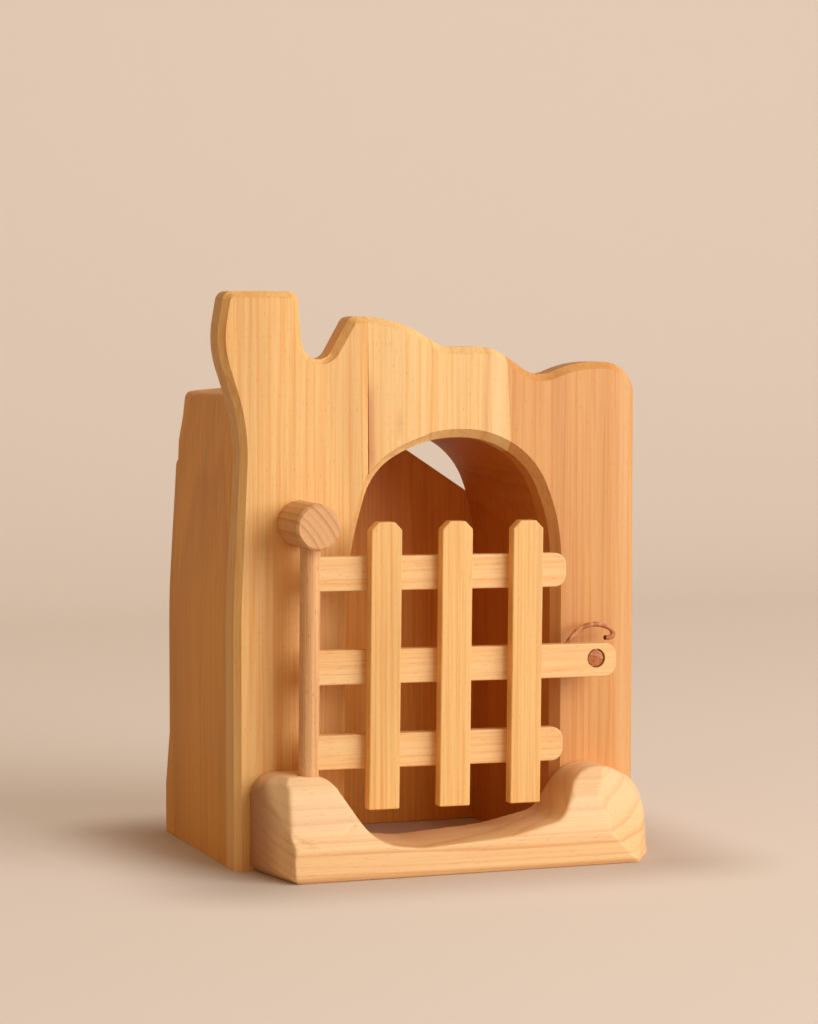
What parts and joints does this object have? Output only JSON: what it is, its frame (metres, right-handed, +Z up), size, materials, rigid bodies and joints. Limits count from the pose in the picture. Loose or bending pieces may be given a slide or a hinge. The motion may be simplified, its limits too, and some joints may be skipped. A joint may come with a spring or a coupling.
{
  "type": "wooden toy jailhouse",
  "caption": "Hand-carved wooden toy jailhouse with a wavy chimney front, an arched cell and a picket gate that swings on a round post and slips over a latch peg.",
  "frame": {"origin": "under the middle of the whole toy's bounding box, on the surface that it stands on", "axes": "+Z up, -Y towards the front with the doorway and the gate, +X to the right seen from the front"},
  "size_m": [0.1744, 0.1358, 0.2247],
  "materials": {
    "honey_wood": "oiled, satin",
    "pale_wood": "oiled, satin",
    "dowel_wood": "oiled, satin",
    "peg_wood": "oiled, satin",
    "lace_leather": "matt"
  },
  "bodies": {
    "house": {"front_board_left": "honey_wood", "front_board_middle": "honey_wood", "front_board_right": "honey_wood", "side_block_left": "honey_wood", "crown_block": "honey_wood", "side_block_right": "honey_wood", "back_board": "honey_wood", "threshold": "pale_wood", "hinge_knob": "dowel_wood", "latch_peg": "peg_wood", "leather_lace": "lace_leather"},
    "gate": {"gate_post": "dowel_wood", "rail_top": "pale_wood", "rail_middle": "pale_wood", "rail_bottom": "pale_wood", "picket_left": "honey_wood", "picket_middle": "honey_wood", "picket_right": "honey_wood"}
  },
  "joints": [
    {"name": "gate_hinge", "type": "hinge", "parent": "house", "child": "gate", "pos_m": [-0.05576, -0.0467, 0.08], "axis": [-0.0105, 0, -0.9999], "range_deg": [0, 190]}
  ]
}
